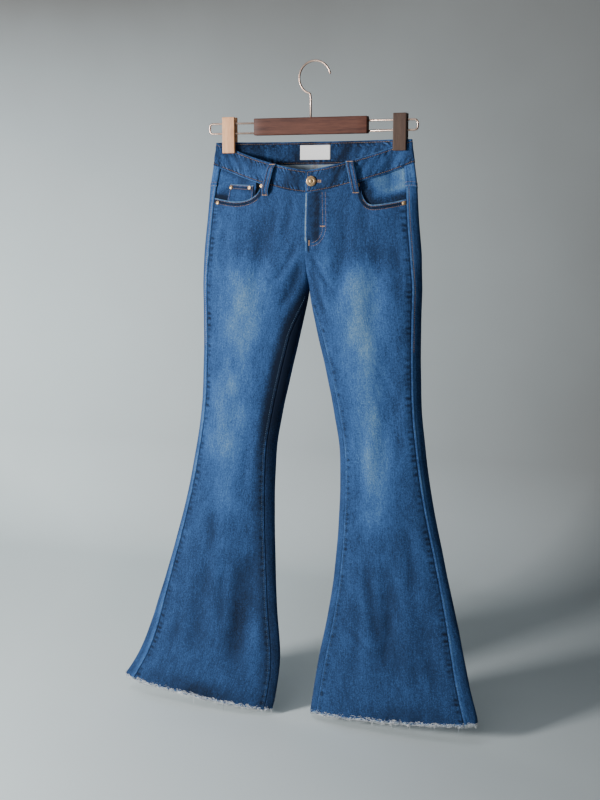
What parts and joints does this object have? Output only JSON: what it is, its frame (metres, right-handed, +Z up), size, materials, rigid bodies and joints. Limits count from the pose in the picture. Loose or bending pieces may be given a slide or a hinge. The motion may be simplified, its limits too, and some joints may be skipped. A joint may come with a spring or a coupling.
{
  "type": "flared jeans on clip hanger",
  "caption": "Blue flared jeans with raw frayed hems, empty, clipped by the waistband to a wood and wire hanger.",
  "frame": {"origin": "the highest point inside the hanger's hook, where a rail carries it", "axes": "+Z up, +X along the hanger towards the viewer's right (the wearer's left), -Y out of the garment's front"},
  "size_m": [0.7137, 0.1187, 1.1996],
  "materials": {
    "denim": "mid-blue denim, worn pale on the thighs and knees",
    "fray": "pale frayed cotton threads",
    "label_cloth": "blank white woven label",
    "antique_brass": "antiqued brass, satin",
    "dark_wood": "reddish brown stained wood, satin",
    "clip_wood": "light brown wood, satin",
    "rose_metal": "rose-bronze plated steel wire"
  },
  "bodies": {
    "root": {"front_right": "denim", "front_left": "denim", "back_right": "denim", "back_left": "denim", "yoke_right": "denim", "yoke_left": "denim", "waistband_right": "denim", "waistband_left": "denim", "waistband_back": "denim", "fly_shield": "denim", "pocket_facing_right": "denim", "pocket_facing_left": "denim", "coin_pocket": "denim", "back_pocket_right": "denim", "back_pocket_left": "denim", "belt_loop_front_right": "denim", "belt_loop_front_left": "denim", "belt_loop_back_right": "denim", "belt_loop_back_left": "denim", "belt_loop_centre": "denim", "fringe_right": "fray", "fringe_left": "fray", "label": "label_cloth", "rivet_right_inner": "antique_brass", "rivet_right_outer": "antique_brass", "rivet_left_inner": "antique_brass", "rivet_left_outer": "antique_brass", "rivet_coin_inner": "antique_brass", "rivet_coin_outer": "antique_brass", "button": "antique_brass", "bar": "dark_wood", "clip_right_front_jaw": "clip_wood", "clip_right_back_jaw": "clip_wood", "clip_left_front_jaw": "clip_wood", "clip_left_back_jaw": "clip_wood", "hook": "rose_metal", "rail_right": "rose_metal", "rail_left": "rose_metal", "clip_right_slide": "rose_metal", "clip_left_slide": "rose_metal"}
  },
  "joints": []
}
